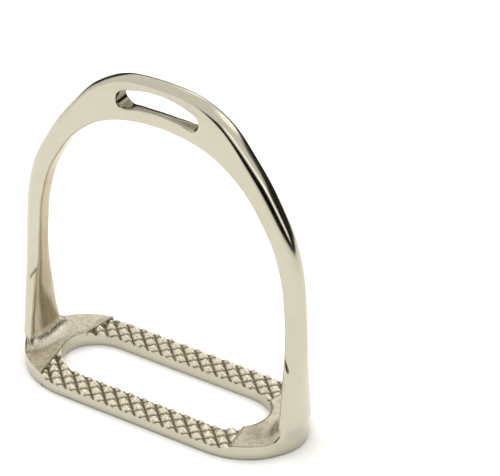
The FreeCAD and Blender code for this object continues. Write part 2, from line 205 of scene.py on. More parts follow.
class Wire:
    """A node socket that can be used in a Python expression."""

    def __init__(self, tree, socket):
        self.tree = tree
        self.socket = socket

    def math(self, operation, *others, clamp=False):
        """Add one Math node."""
        node = self.tree.nodes.new("ShaderNodeMath")
        node.operation = operation
        node.use_clamp = clamp
        for index, value in enumerate((self,) + others):
            connect(self.tree, value, node.inputs[index])
        return Wire(self.tree, node.outputs[0])

    def __add__(self, other):
        return self.math("ADD", other)

    def __radd__(self, other):
        return self.math("ADD", other)

    def __sub__(self, other):
        return self.math("SUBTRACT", other)

    def __rsub__(self, other):
        return (self * -1.0).math("ADD", other)

    def __mul__(self, other):
        return self.math("MULTIPLY", other)

    def __rmul__(self, other):
        return self.math("MULTIPLY", other)

    def __truediv__(self, other):
        return self.math("DIVIDE", other)

    def __abs__(self):
        return self.math("ABSOLUTE")

    def clamped(self):
        """Keep the value between 0 and 1."""
        return self.math("ADD", 0.0, clamp=True)

    def ramp(self, low, high):
        """A smooth step from 0 at low to 1 at high."""
        return Nodes(self.tree).add(
            "ShaderNodeMapRange", {"interpolation_type": "SMOOTHSTEP"},
            {"Value": self, "From Min": low, "From Max": high})["Result"]


def connect(tree, value, socket):
    """Link a wire, or set a plain value."""
    if isinstance(value, Wire):
        tree.links.new(value.socket, socket)
    else:
        socket.default_value = value


class Outputs:
    """The outputs of a node, found by name."""

    def __init__(self, tree, node):
        self.tree = tree
        self.node = node

    def __getitem__(self, key):
        return Wire(self.tree, self.node.outputs[key])


class Nodes:
    """Adds nodes to a tree."""

    def __init__(self, tree):
        self.tree = tree

    def add(self, kind, settings=None, values=None):
        """Add a node of a kind, with its settings first and its sockets after."""
        node = self.tree.nodes.new(kind)
        for key, value in (settings or {}).items():
            setattr(node, key, value)
        for key, value in (values or {}).items():
            connect(self.tree, value, node.inputs[key])
        return Outputs(self.tree, node)

    def blend(self, factor, first, second):
        """Mix two colours."""
        return self.add("ShaderNodeMix", {"data_type": "RGBA"},
                        {0: factor, 6: first, 7: second})[2]

    def grain(self, place, scale, detail=2.0, roughness=0.5):
        """Noise at one scale."""
        return self.add("ShaderNodeTexNoise", None, {
            "Vector": place, "Scale": scale, "Detail": detail, "Roughness": roughness})["Fac"]


def rgba(colour):
    """A colour with full alpha."""
    return (colour[0], colour[1], colour[2], 1.0)


def metal(name, finishes, sizes):
    """One metal for every piece: its masks are the attributes tarnish, cast, cut and mark."""
    material = bpy.data.materials.new(name)
    material.use_nodes = True
    tree = material.node_tree
    tree.nodes.clear()
    nodes = Nodes(tree)
    place = nodes.add("ShaderNodeTexCoord")["Object"]
    height = nodes.add("ShaderNodeSeparateXYZ", None, {"Vector": place})["Z"]
    tarnish_and_shade = nodes.add("ShaderNodeAttribute", {"attribute_name": "tarnish_and_shade"})["Fac"]
    cast = nodes.add("ShaderNodeAttribute", {"attribute_name": "cast"})["Fac"]
    cut = nodes.add("ShaderNodeAttribute", {"attribute_name": "cut"})["Fac"]
    shade_mark = nodes.add("ShaderNodeAttribute", {"attribute_name": "shade_mark"})["Fac"]

    broad = nodes.grain(place, 55.0, 3.0, 0.6)
    middle = nodes.grain(place, 420.0, 4.0, 0.6)
    fine = nodes.grain(place, 1900.0, 3.0, 0.65)
    pits = nodes.add("ShaderNodeTexVoronoi", {"feature": "F1"},
                     {"Vector": place, "Scale": 900.0, "Randomness": 1.0})["Distance"]

    stretched = nodes.add("ShaderNodeVectorMath", {"operation": "MULTIPLY"},
                          {0: place, 1: (1.0, 1.0, 0.12)})["Vector"]
    streak = nodes.grain(stretched, 520.0, 3.0, 0.6)
    # Tarnishing, which on the fronts of the end plates is painted shade.
    film_and_shade = (tarnish_and_shade * (broad.ramp(0.25, 0.7) * 0.5 + 0.6)).clamped()
    shine = nodes.blend(film_and_shade, rgba(finishes.polished), rgba(finishes.tarnish_and_shade))
    # Painted shade: the tarnished faces darken towards the bottom, in streaks.
    worn = (tarnish_and_shade * (1.0 - height.ramp(0.03, 0.10)) * (streak.ramp(0.35, 0.65) * 0.7 + 0.25))
    shine = nodes.blend((worn * 0.8).clamped(), shine, rgba(finishes.worn))
    smear = broad.ramp(0.45, 0.62) * middle.ramp(0.4, 0.6) * (1.0 - cut) * 0.13
    shine = nodes.blend(smear, shine, rgba(finishes.tarnish_and_shade))

    mottle = (middle.ramp(0.34, 0.6) * 0.4 + fine.ramp(0.35, 0.6) * 0.6).clamped()
    grainy = nodes.blend(mottle, rgba(finishes.cast_dark), rgba(finishes.cast_light))
    shine = nodes.blend(cast, shine, grainy)

    depth = ((sizes.tread_height - height) / sizes.cut_depth).clamped()
    # Painted shade, darker the deeper the cut.
    valley_shade = (cut * (depth + (fine - 0.5) * 0.6).ramp(0.55, 1.0)).clamped()
    # Painted highlight on the points of the cross-cut.
    shine = nodes.blend(cut, shine, rgba(finishes.cut_highlight))
    shine = nodes.blend(valley_shade, shine, rgba(finishes.valley_shade))
    # Painted shade in the nicks, on the eye's wall, under the plate's lip and by the left foot's rear
    # base, and a painted dark reflection on the right end plate.
    shine = nodes.blend((shade_mark * 0.92).clamped(), shine, rgba(finishes.valley_shade))

    rough = (broad * 0.06 + finishes.polished_roughness - 0.02
             + film_and_shade * 0.13 + cast * (middle * 0.22 + 0.14) + cut * 0.05 + valley_shade * 0.25)
    relief = (cast * (fine * 0.6 + middle * 0.9 - (1.0 - pits.ramp(0.05, 0.45)) * 0.7)
              + middle * 0.012 + cut * fine * 0.5)
    bump = nodes.add("ShaderNodeBump", None, {
        "Strength": 0.55, "Distance": 0.00035, "Height": relief})["Normal"]
    shader = nodes.add("ShaderNodeBsdfPrincipled", None, {
        "Base Color": shine, "Roughness": rough.clamped(), "Normal": bump, "Metallic": 1.0})["BSDF"]
    nodes.add("ShaderNodeOutputMaterial", None, {"Surface": shader})
    return material


def shared_metal():
    """The metal, made once."""
    scene = bpy.context.scene
    found = bpy.data.materials.get("nickel_silver")
    return found or metal("nickel_silver", scene.stirrup_finishes, scene.stirrup_sizes)


# ---------------------------------------------------------------- curves and sections

def cubic(knots, values, where):
    """Natural cubic spline through the values at the knots."""
    knots = np.asarray(knots, float)
    values = np.asarray(values, float)
    count = len(knots)
    gaps = np.diff(knots)
    system = np.zeros((count, count))
    right = np.zeros((count,) + values.shape[1:])
    system[0, 0] = system[-1, -1] = 1.0
    for i in range(1, count - 1):
        system[i, i - 1] = gaps[i - 1]
        system[i, i] = 2.0 * (gaps[i - 1] + gaps[i])
        system[i, i + 1] = gaps[i]
        right[i] = 6.0 * ((values[i + 1] - values[i]) / gaps[i]
                          - (values[i] - values[i - 1]) / gaps[i - 1])
    bend = np.linalg.solve(system, right)
    where = np.asarray(where, float)
    slot = np.clip(np.searchsorted(knots, where) - 1, 0, count - 2)
    gap = gaps[slot][:, None]
    left = (where - knots[slot])[:, None]
    back = (knots[slot + 1] - where)[:, None]
    return (bend[slot] * back ** 3 + bend[slot + 1] * left ** 3) / (6.0 * gap) \
        + (values[slot] / gap - bend[slot] * gap / 6.0) * back \
        + (values[slot + 1] / gap - bend[slot + 1] * gap / 6.0) * left


def whole_arch():
    """Stations of the whole arch, left foot to right foot, and their knots."""
    right = np.array(STATIONS)
    left = right[:-1].copy()
    left[:, 0] *= -1.0
    left[:, 2] *= -1.0
    table = np.vstack([left, right[::-1]])
    middle = (table[:, 0:2] + table[:, 2:4]) / 2.0
    steps = np.linalg.norm(np.diff(middle, axis=0), axis=1)
    return np.concatenate([[0.0], np.cumsum(steps)]), table


KNOTS, TABLE = whole_arch()
RIGHT_CROWN = len(KNOTS) - 1 - CROWN_STATION
RIGHT_NICK = len(KNOTS) - 1 - NICK_STATION


def power(value, exponent):
    """Power that keeps the sign."""
    return np.sign(value) * np.abs(value) ** exponent


def section(station):
    """Closed section of the arch at one station: rim, rear strip, inner face, front strip."""
    inner = station[0:2]
    crest = station[2:4]
    bulge, half, swell, square, rim_square = station[4:9]
    width = np.linalg.norm(crest - inner)
    along = (crest - inner) / width
    corner = 0.9
    angle = np.radians(np.linspace(-90.0, 90.0, RIM_POINTS))
    shape = np.where(angle > 0.0, 2.0 / rim_square, 1.0)
    rim = np.stack([width - bulge + bulge * power(np.cos(angle), shape),
                    half * power(np.sin(angle), shape)], 1)
    share = 0.5 - 0.5 * np.cos(np.linspace(0.0, np.pi, STRIP_POINTS + 2))[1:-1]
    strip = (width - bulge) * (1.0 - share) + corner * share
    rear = np.stack([strip, np.full(STRIP_POINTS, half)], 1)
    angle = np.radians(np.linspace(90.0, -90.0, FACE_POINTS))
    face = np.stack([corner - (corner + swell) * power(np.cos(angle), 2.0 / square),
                     half * power(np.sin(angle), 2.0 / square)], 1)
    front = np.stack([strip[::-1], np.full(STRIP_POINTS, -half)], 1)
    loop = np.vstack([rim, rear, face, front])
    return np.stack([inner[0] + along[0] * loop[:, 0], loop[:, 1],
                     inner[1] + along[1] * loop[:, 0]], 1)


def arch_rings(first, last, spacing):
    """Sections from one knot to another, evenly spaced."""
    count = max(2, int(round(abs(last - first) / spacing)) + 1)
    where = np.linspace(first, last, count)
    stations = cubic(KNOTS, TABLE, where)
    return np.array([section(station) for station in stations])


# ---------------------------------------------------------------- meshes

def finish_piece(name, points, faces, masks, crease):
    """Make a piece's mesh and give it its metal and its masks; a mask not given is zero."""
    mesh = bpy.data.meshes.new(name)
    mesh.from_pydata([tuple(point * MM) for point in points], [], faces)
    mesh.validate()
    for key, values in {**dict.fromkeys(MASKS, np.zeros(len(points))), **masks}.items():
        layer = mesh.attributes.new(key, "FLOAT", "POINT")
        layer.data.foreach_set("value", np.asarray(values, np.float32).ravel())
    work = bmesh.new()
    work.from_mesh(mesh)
    bmesh.ops.recalc_face_normals(work, faces=work.faces)
    for face in work.faces:
        face.smooth = True
    for edge in work.edges:
        if len(edge.link_faces) == 2 and edge.calc_face_angle(0.0) > crease:
            edge.smooth = False
    work.to_mesh(mesh)
    work.free()
    piece = bpy.data.objects.new(name, mesh)
    bpy.context.scene.collection.objects.link(piece)
    mesh.materials.append(shared_metal())
    return piece


def place(piece, node, slot):
    """Tie the piece to the body and hide the node that it stands for; slot is not used."""
    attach(piece, "root")
    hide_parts(node)


def ring_faces(rings, around):
    """Quads between closed rings, and a cap at each end."""
    faces = []
    for i in range(rings - 1):
        a = i * around
        b = a + around
        for k in range(around):
            n = (k + 1) % around
            faces.append((a + k, a + n, b + n, b + k))
    faces.append(tuple(range(around)))
    faces.append(tuple(range((rings - 1) * around, rings * around)))
    return faces


def round_faces(rings, around):
    """Quads between closed rings, of which the last meets the first."""
    faces = []
    for i in range(rings):
        n = (i + 1) % rings
        for k in range(around):
            m = (k + 1) % around
            faces.append((i * around + k, i * around + m, n * around + m, n * around + k))
    return faces


def mark_line(points, side):
    """Depth of the nick that crosses each branch's front and rear edge."""
    x = np.abs(points[:, 0])
    z = points[:, 2]
    start = np.array(NICK_START)
    way = np.array(NICK_END) - start
    flat = np.stack([x, z], 1) - start
    along = np.clip(flat @ way / (way @ way), 0.0, 1.0)
    away = np.linalg.norm(flat - along[:, None] * way, axis=1)
    near = (np.abs(points[:, 1]) > 3.0) & (np.sign(points[:, 1]) == side)
    return np.exp(-(away / NICK_WIDTH) ** 2) * near


def inner_tarnish(points):
    """Tarnish on the inner faces."""
    around = RIM_POINTS + 2 * STRIP_POINTS + FACE_POINTS
    index = np.arange(len(points)) % around
    start = RIM_POINTS + STRIP_POINTS
    inside = (index >= start + 6) & (index < start + FACE_POINTS - 6)
    return np.where(inside, 0.75, 0.0)


def nicked(points):
    """Press the nick into the points, front and rear, and give its mask, which paints shade in the
    nick.
    """
    depth = np.zeros(len(points))
    moved = points.copy()
    for side in (-1.0, 1.0):
        cut = mark_line(points, side)
        moved[:, 1] -= side * cut * NICK_DEPTH
        depth += cut
    return moved, np.clip(depth, 0.0, 1.0)


def swept_piece(name, first, last):
    """A stretch of the arch between two knots."""
    rings = arch_rings(KNOTS[first], KNOTS[last], 0.8)
    count, around = rings.shape[:2]
    points, shade_mark = nicked(rings.reshape(-1, 3))
    # The nick's mask paints shade in its groove.
    masks = {"tarnish_and_shade": inner_tarnish(points), "shade_mark": shade_mark}
    piece = finish_piece(name + "_look", points, ring_faces(count, around), masks, ARCH_CREASE)
    place(piece, name, "polished_metal")


def closed_curve(points, count):
    """A smooth closed curve through the points, with arc length steps."""
    loop = np.vstack([points[-3:], points, points[:4]])
    steps = np.linalg.norm(np.diff(loop, axis=0), axis=1)
    knots = np.concatenate([[0.0], np.cumsum(steps)])
    where = np.linspace(knots[3], knots[3 + len(points)], count + 1)[:-1]
    return cubic(knots, loop, where)


def between(curve, low, high, count):
    """Points along part of a closed curve, given as index positions."""
    where = np.linspace(low, high, count)
    total = len(curve)
    whole = np.floor(where).astype(int)
    part = (where - whole)[:, None]
    return curve[whole % total] * (1.0 - part) + curve[(whole + 1) % total] * part


def outward(curve):
    """Normals of a closed curve in its plane, away from its middle."""
    step = np.roll(curve, -1, 0) - np.roll(curve, 1, 0)
    normal = np.stack([step[:, 1], -step[:, 0]], 1)
    normal /= np.linalg.norm(normal, axis=1)[:, None]
    side = np.sum(normal * (curve - curve.mean(0)), axis=1)
    return normal * np.sign(side.sum())


def joint_rings(first, last, depth):
    """Rings of the eye plate down a joint, from one edge point to another."""
    share = np.linspace(0.0, 1.0, PLATE_DOWN)[:, None, None]
    rings = np.zeros((PLATE_DOWN, RIM_POINTS, 3))
    rings[:] = first * (1.0 - share) + last * share
    rings[:, :, 1] = np.linspace(-depth, depth, RIM_POINTS)
    return rings


def plate_edge():
    """Outer edge of the eye plate all the way round, front to rear, and its half depths."""
    stations = cubic(KNOTS, TABLE, np.linspace(
        KNOTS[len(KNOTS) - 1 - RIGHT_CROWN], KNOTS[RIGHT_CROWN], PLATE_ACROSS))
    loops = np.array([section(station) for station in stations])
    rim = loops[:, :RIM_POINTS]
    start = RIM_POINTS + STRIP_POINTS
    pick = np.round(np.linspace(FACE_POINTS - 1, 0, RIM_POINTS)).astype(int)
    face = loops[:, start:start + FACE_POINTS][:, pick]
    halves = stations[:, 5]
    joint = halves[0]
    edge = np.vstack([rim, joint_rings(rim[-1][0], face[-1][0], joint),
                      face[::-1], joint_rings(face[0][0], rim[0][0], joint)])
    end = np.full(PLATE_DOWN, joint)
    return edge, np.concatenate([halves, end, halves[::-1], end])


def eye_edge():
    """Points round the eye, one for each ring of the plate, and their normals."""
    fine = closed_curve(np.array(EYE_OUTLINE, float), EYE_STEPS)
    normal = outward(fine)
    corners = []
    for corner in EYE_CORNERS:
        nearest = int(np.argmin(np.linalg.norm(fine - np.array(corner), axis=1)))
        if corners and nearest < corners[-1]:
            nearest += EYE_STEPS
        corners.append(nearest)
    corners.append(corners[0] + EYE_STEPS)
    counts = (PLATE_ACROSS, PLATE_DOWN, PLATE_ACROSS, PLATE_DOWN)
    spans = list(zip(corners[:-1], corners[1:], counts))
    eye = np.vstack([between(fine, *span) for span in spans])
    lean = np.vstack([between(normal, *span) for span in spans])
    return eye, lean


def eye_profile(half, bar, sizes):
    """Inset and depth of the eye's wall from rear to front; bar is 1 in the middle of the bar."""
    turn = np.radians(np.linspace(0.0, 90.0, 9))
    lift = 1.0 - np.sin(turn)
    drop = 1.0 - np.cos(turn)
    small = sizes.eye_round / MM
    high = small + bar * sizes.bar_round / MM
    deep = small + bar * sizes.bar_slope / MM
    behind = half - deep * drop
    ahead = -(half - small * drop)[::-1]
    flat = np.linspace(behind[-1], ahead[0], 5)[1:-1]
    inset = np.concatenate([high * lift, np.zeros(3), small * lift[::-1]])
    return inset, np.concatenate([behind, flat, ahead])


def plate_rings(sizes):
    """Rings through the eye: outer edge, rear side, wall of the eye, front side."""
    edges, halves = plate_edge()
    eye, lean = eye_edge()
    bars = np.zeros(len(eye))
    first = PLATE_ACROSS + PLATE_DOWN
    bars[first:first + PLATE_ACROSS] = np.sin(np.linspace(0.0, np.pi, PLATE_ACROSS)) ** 0.6
    share = 0.5 - 0.5 * np.cos(np.linspace(0.0, np.pi, PLATE_SIDE_POINTS + 2))[1:-1, None]
    rings = []
    for edge, spot, normal, half, bar in zip(edges, eye, lean, halves, bars):
        inset, depth = eye_profile(half, bar, sizes)
        spots = spot + inset[:, None] * normal
        wall = np.stack([spots[:, 0], depth, spots[:, 1]], 1)
        rear = edge[-1] * (1.0 - share) + wall[0] * share
        front = wall[-1] * (1.0 - share) + edge[0] * share
        rings.append(np.vstack([edge, rear, wall, front]))
    return np.array(rings)


def plate_masks(points, around):
    """Tarnish under the eye plate and painted shade on the wall of the eye."""
    index = np.arange(len(points)) % around
    ring = np.arange(len(points)) // around
    first = PLATE_ACROSS + PLATE_DOWN
    on_bar = (ring >= first) & (ring < first + PLATE_ACROSS)
    under = on_bar & (index > 5) & (index < RIM_POINTS - 6)
    wall = RIM_POINTS + PLATE_SIDE_POINTS
    in_eye = index >= wall + np.where(on_bar, 0, 4)
    in_eye &= index < wall + EYE_PROFILE_POINTS - 4
    # Painted shade on the eye's wall; on the bar it is lighter only near the front edge.
    shade_patch = np.where(on_bar, np.clip((points[:, 1] + 3.4) / 1.6, 0.0, 0.88), 0.85)
    return {"tarnish_and_shade": np.where(under, 0.75, 0.0), "shade_mark": in_eye * shade_patch}


def crown_piece(sizes):
    """The eye plate: a ring of metal round the eye, closed by the two joint faces."""
    rings = plate_rings(sizes)
    count, around = rings.shape[:2]
    points = rings.reshape(-1, 3)
    piece = finish_piece("crown_look", points, round_faces(count, around),
                         plate_masks(points, around), ARCH_CREASE)
    place(piece, "crown", "polished_metal")


# ---------------------------------------------------------------- tread ends

def oval(centre, half_length, half_depth, x):
    """Half depth of an oval end at x."""
    share = np.clip((np.asarray(x) - centre) / half_length, -1.0, 1.0)
    return half_depth * np.sqrt(1.0 - share ** 2)


def smooth(share):
    """Ease a share in and out."""
    return share * share * (3.0 - 2.0 * share)


def belly(level):
    """How far the rim draws in towards the underside, at a height."""
    return 0.55 * np.clip((2.8 - level) / 2.8, 0.0, 1.0) ** 2


def end_outline(side, sizes):
    """Edge of a tread end in plan, matched to the section's points, its normals and its lip."""
    half_length = sizes.tread_half_length / MM
    half_depth = sizes.tread_half_depth / MM
    end = sizes.tread_end_length / MM
    slot_length = sizes.slot_half_length / MM
    slot_depth = sizes.slot_half_depth / MM
    slot_end = sizes.slot_end_length / MM
    centre = half_length - end
    slot_centre = slot_length - slot_end
    heel = math.asin(HEEL_HALF_DEPTH / half_depth)
    rear_stop = math.acos((BORDERS[(side, 1)][0] - centre) / end)
    front_stop = math.acos((BORDERS[(side, -1)][0] - centre) / end)
    rear_slot = math.acos((BORDERS[(side, 1)][1] - slot_centre) / slot_end)
    front_slot = math.acos((BORDERS[(side, -1)][1] - slot_centre) / slot_end)

    def on_rim(angle):
        """Points of the oval end at angles from its tip, and their normals."""
        spot = np.stack([centre + end * np.cos(angle), half_depth * np.sin(angle)], 1)
        normal = np.stack([np.cos(angle) / end, np.sin(angle) / half_depth], 1)
        return spot, normal / np.linalg.norm(normal, axis=1)[:, None]

    rim, rim_normal = on_rim(np.linspace(-heel, heel, RIM_POINTS))
    rim[:, 0] += HEEL_SWELL * np.cos(np.linspace(-np.pi / 2, np.pi / 2, RIM_POINTS))
    rear, rear_normal = on_rim(np.linspace(heel, rear_stop, STRIP_POINTS + 2)[1:-1])
    front, front_normal = on_rim(np.linspace(-front_stop, -heel, STRIP_POINTS + 2)[1:-1])
    angle = np.linspace(rear_slot, -front_slot, FACE_POINTS - 2 * (BORDER_POINTS - 1))
    slot = np.stack([slot_centre + slot_end * np.cos(angle), slot_depth * np.sin(angle)], 1)
    slot_normal = -np.stack([np.cos(angle) / slot_end, np.sin(angle) / slot_depth], 1)
    slot_normal /= np.linalg.norm(slot_normal, axis=1)[:, None]
    rear_rim, rear_rim_normal = on_rim(np.array([rear_stop]))
    front_rim, front_rim_normal = on_rim(np.array([-front_stop]))
    share = np.linspace(0.0, 1.0, BORDER_POINTS)[:-1, None]
    rear_border = rear_rim * (1.0 - share) + slot[0] * share
    front_border = (front_rim * (1.0 - share) + slot[-1] * share)[::-1]
    flat_normal = np.tile([-1.0, 0.0], (BORDER_POINTS - 2, 1))
    face = np.vstack([rear_border, slot, front_border])
    face_normal = np.vstack([rear_rim_normal, flat_normal, slot_normal,
                             flat_normal, front_rim_normal])
    loop = np.vstack([rim, rear, face, front])
    normals = np.vstack([rim_normal, rear_normal, face_normal, front_normal])
    lip = np.concatenate([np.zeros(RIM_POINTS + STRIP_POINTS), np.ones(FACE_POINTS),
                          np.zeros(STRIP_POINTS)])
    return loop, normals, lip


def end_top(loop, lip, top):
    """Rings from the foot down its fillet and out over the plate, with the cast mask and a painted
    shadow along the plate's lip.
    """
    foot = section(np.array(STATIONS[0]))
    high = STATIONS[0][1]
    away = loop - foot[:, 0:2]
    reach = np.linalg.norm(away, axis=1)
    way = away / np.maximum(reach, 1e-6)[:, None]
    fillet = np.minimum(FILLET, reach * 0.62)
    flat = smooth(np.clip((reach - 1.2) / 4.5, 0.0, 1.0))
    arc_steps = 14
    plate_steps = 34
    steps = arc_steps + plate_steps
    rings = []
    cast = []
    lip_shadow = []
    for j in range(steps + 1):
        if j <= arc_steps:
            turn = math.radians(90.0 * j / arc_steps)
            out = fillet * (1.0 - math.cos(turn))
            level = np.full(len(reach), high - (high - top) * math.sin(turn))
            rough = np.full(len(reach), 0.45 + 0.05 * j / arc_steps)
        else:
            share = 1.0 - (1.0 - (j - arc_steps) / plate_steps) ** 1.7
            out = fillet + (reach - fillet) * share
            level = np.full(len(reach), top)
            rough = 0.5 + 0.5 * np.clip((out - fillet) / 2.5, 0.0, 1.0)
        rest = reach - out
        ridge = np.exp(-((rest - 0.95) / 0.4) ** 2) * 0.2
        groove = np.exp(-((rest - 0.35) / 0.22) ** 2) * 0.3
        dish = 0.35 * np.clip(rest / 4.0, 0.0, 1.0) * np.clip(out / FILLET, 0.0, 1.0)
        rim_round = np.clip(1.0 - rest / 0.7, 0.0, 1.0) ** 2 * 0.35
        level = level + (ridge - groove) * lip * (j > arc_steps) - dish - rim_round * (1.0 - lip)
        spot = foot[:, 0:2] + way * out[:, None]
        ease = smooth(j / steps)
        wall_spot = foot[:, 0:2] * (1.0 - ease) + loop * ease
        wall_level = high + (top - 0.35 - high) * (j / steps)
        spot = spot * flat[:, None] + wall_spot * (1.0 - flat[:, None])
        level = level * flat + wall_level * (1.0 - flat)
        rings.append(np.column_stack([spot, level]))
        cast.append(rough * flat * np.clip(rest / 0.9, 0.0, 1.0))
        # Painted shadow: dark along the plate's lip where it steps down to the cross-cut.
        lip_shadow.append(np.exp(-((rest - 0.35) / 0.25) ** 2) * 0.75 * lip)
    return rings, cast, lip_shadow


def end_rim(loop, normals, lip, edge_level, under):
    """Rings from the plate's edge down the rim and under it."""
    rings = []
    for share in np.linspace(0.12, 1.0, 7):
        level = edge_level * (1.0 - share) + UNDER_HEIGHT * share
        tuck = belly(level) * (1.0 - lip)
        rings.append(np.column_stack([loop - normals * tuck[:, None], level]))
    for turn in np.radians(np.linspace(15.0, 90.0, 6)):
        tuck = UNDER_TUCK * (1.0 - lip) + under * (1.0 - math.cos(turn)) * (1.0 - 0.6 * lip)
        level = np.full(len(loop), UNDER_HEIGHT * (1.0 - math.sin(turn)))
        rings.append(np.column_stack([loop - normals * tuck[:, None], level]))
    return rings


def tread_end(side, sizes):
    """The plain cast end of the tread on one side."""
    loop, normals, lip = end_outline(side, sizes)
    rings, cast, lip_shadow = end_top(loop, lip, sizes.tread_height / MM)
    rim = end_rim(loop, normals, lip, rings[-1][:, 2], sizes.edge_round / MM)
    plain = np.zeros(len(rim) * len(loop))
    cast = np.concatenate([np.concatenate(cast), plain])
    lip_shadow = np.concatenate([np.concatenate(lip_shadow), plain])
    points = np.vstack(rings + rim)
    # Painted shade: a dark patch by the left foot's rear base, and a dark patch painted as reflection
    # on the right end's front.
    spot = np.array([56.5, -10.5]) if side > 0 else np.array([61.5, 9.5])
    spread = 6.5 if side > 0 else 3.5
    shade_patch = 0.5 * np.exp(-np.sum(((points[:, 0:2] - spot) / spread) ** 2, axis=1)) * cast
    # Painted shade: the tarnished colour grows towards the front edge of each end plate.
    film_and_shade = np.clip((-points[:, 1] - 6.0) / 8.0, 0.0, 0.8) * cast
    points[:, 0] *= side
    masks = {"tarnish_and_shade": film_and_shade, "cast": cast, "shade_mark": np.clip(lip_shadow + shade_patch, 0.0, 1.0)}
    name = "right_tread_end" if side > 0 else "left_tread_end"
    piece = finish_piece(name + "_look", points, ring_faces(len(rings) + len(rim), len(loop)),
                         masks, TREAD_CREASE)
    place(piece, name, "cast_metal")


# ---------------------------------------------------------------- cross-cut rails

def cross_cut_tree(material):
    """Geometry Nodes that press crossing cuts into the rail's top."""
    tree = bpy.data.node_groups.new("cross_cut", "GeometryNodeTree")
    face = tree.interface
    face.new_socket(name="Geometry", in_out="INPUT", socket_type="NodeSocketGeometry")
    for name in ("Pitch", "Depth", "Row", "Unevenness"):
        face.new_socket(name=name, in_out="INPUT", socket_type="NodeSocketFloat")
    face.new_socket(name="Seed", in_out="INPUT", socket_type="NodeSocketInt")
    face.new_socket(name="Geometry", in_out="OUTPUT", socket_type="NodeSocketGeometry")
    nodes = Nodes(tree)
    given = nodes.add("NodeGroupInput")
    spot = nodes.add("GeometryNodeInputPosition")["Position"]
    axes = nodes.add("ShaderNodeSeparateXYZ", None, {"Vector": spot})
    x = axes["X"]
    y = axes["Y"] - given["Row"]
    step = given["Pitch"] * math.sqrt(2.0)
    first = (x - y) / step
    second = (x + y) / step
    first_cell = first.math("ROUND")
    second_cell = second.math("ROUND")
    slope = abs(first - first_cell).math("MAXIMUM", abs(second - second_cell)) * 2.0
    cell = nodes.add("ShaderNodeCombineXYZ", None, {"X": first_cell, "Y": second_cell,
                                                    "Z": given["Seed"]})["Vector"]
    chance = nodes.add("ShaderNodeTexWhiteNoise", {"noise_dimensions": "3D"},
                       {"Vector": cell})["Value"]
    ripple = nodes.grain(spot, 700.0, 2.0, 0.5)
    worn = slope.math("SMOOTH_MAX", chance * given["Unevenness"] + 0.07, 0.12)
    drop = (worn + (ripple - 0.5) * 0.16).clamped() * given["Depth"]
    mask = nodes.add("GeometryNodeInputNamedAttribute", {"data_type": "FLOAT"},
                     {"Name": "press"})["Attribute"]
    fall = nodes.add("ShaderNodeCombineXYZ", None, {"X": 0.0, "Y": 0.0,
                                                    "Z": drop * mask * -1.0})["Vector"]
    moved = nodes.add("GeometryNodeSetPosition", None,
                      {"Geometry": given["Geometry"], "Offset": fall})["Geometry"]
    real = nodes.add("GeometryNodeRealizeInstances", None, {"Geometry": moved})["Geometry"]
    done = nodes.add("GeometryNodeSetMaterial", None, {"Geometry": real, "Material": material})
    nodes.add("NodeGroupOutput", None, {"Geometry": done["Geometry"]})
    return tree


def socket_id(tree, name):
    """Identifier of a tree's input."""
    for item in tree.interface.items_tree:
        if item.in_out == "INPUT" and item.name == name:
            return item.identifier
    raise KeyError(name)


def rail_section(low, high, top):
    """Closed section of a rail between two half depths: top, rim, underside, wall of the slot."""
    share = np.linspace(0.0, 1.0, RAIL_TOP_POINTS)
    over = np.stack([low + (high - low) * share, np.full(RAIL_TOP_POINTS, top)], 1)
    rim = [(high - belly(level), level) for level in np.linspace(top - 0.3, UNDER_HEIGHT, 8)]
    rim += [(high - UNDER_TUCK - 1.0 + math.cos(turn), UNDER_HEIGHT * (1.0 - math.sin(turn)))
            for turn in np.radians(np.linspace(18.0, 90.0, 5))]
    base = [(high - 1.4 - (high - low - 2.0) * s, 0.0) for s in np.linspace(0.1, 0.95, 8)]
    wall = [(low + 0.35, 0.0), (low + 0.1, 0.15), (low, 0.5)]
    wall += [(low, level) for level in np.linspace(1.5, top - 0.3, 6)]
    return np.vstack([over, rim, base, wall])


def rail_blank(name, side, sizes):
    """A plain rail before it is cut; side is -1 for the front and 1 for the rear."""
    top = sizes.tread_height / MM
    end = sizes.tread_end_length / MM
    slot_end = sizes.slot_end_length / MM
    centre = sizes.tread_half_length / MM - end
    slot_centre = sizes.slot_half_length / MM - slot_end
    left = BORDERS[(-1, side)]
    right = BORDERS[(1, side)]
    outer_x = np.linspace(-left[0], right[0], RAIL_ROWS)
    inner_x = np.linspace(-left[1], right[1], RAIL_ROWS)
    outside = oval(centre, end, sizes.tread_half_depth / MM, np.maximum(np.abs(outer_x), centre))
    inside = oval(slot_centre, slot_end, sizes.slot_half_depth / MM,
                  np.maximum(np.abs(inner_x), slot_centre))
    loops = np.array([rail_section(low, high, top) for low, high in zip(inside, outside)])
    count, around = loops.shape[:2]
    slant = (loops[:, :, 0] - inside[:, None]) / (outside - inside)[:, None]
    rows = inner_x[:, None] * (1.0 - slant) + outer_x[:, None] * slant
    points = np.column_stack([rows.ravel(), side * loops[:, :, 0].ravel(),
                              loops[:, :, 1].ravel()])
    cut = np.zeros((count, around))
    cut[:, :RAIL_TOP_POINTS] = 1.0
    press = np.clip((loops[:, :, 1] - 1.5) / (top - 1.5), 0.0, 1.0)
    masks = {"cut": cut.ravel(), "press": press.ravel()}
    return finish_piece(name, points, ring_faces(count, around), masks, TREAD_CREASE)


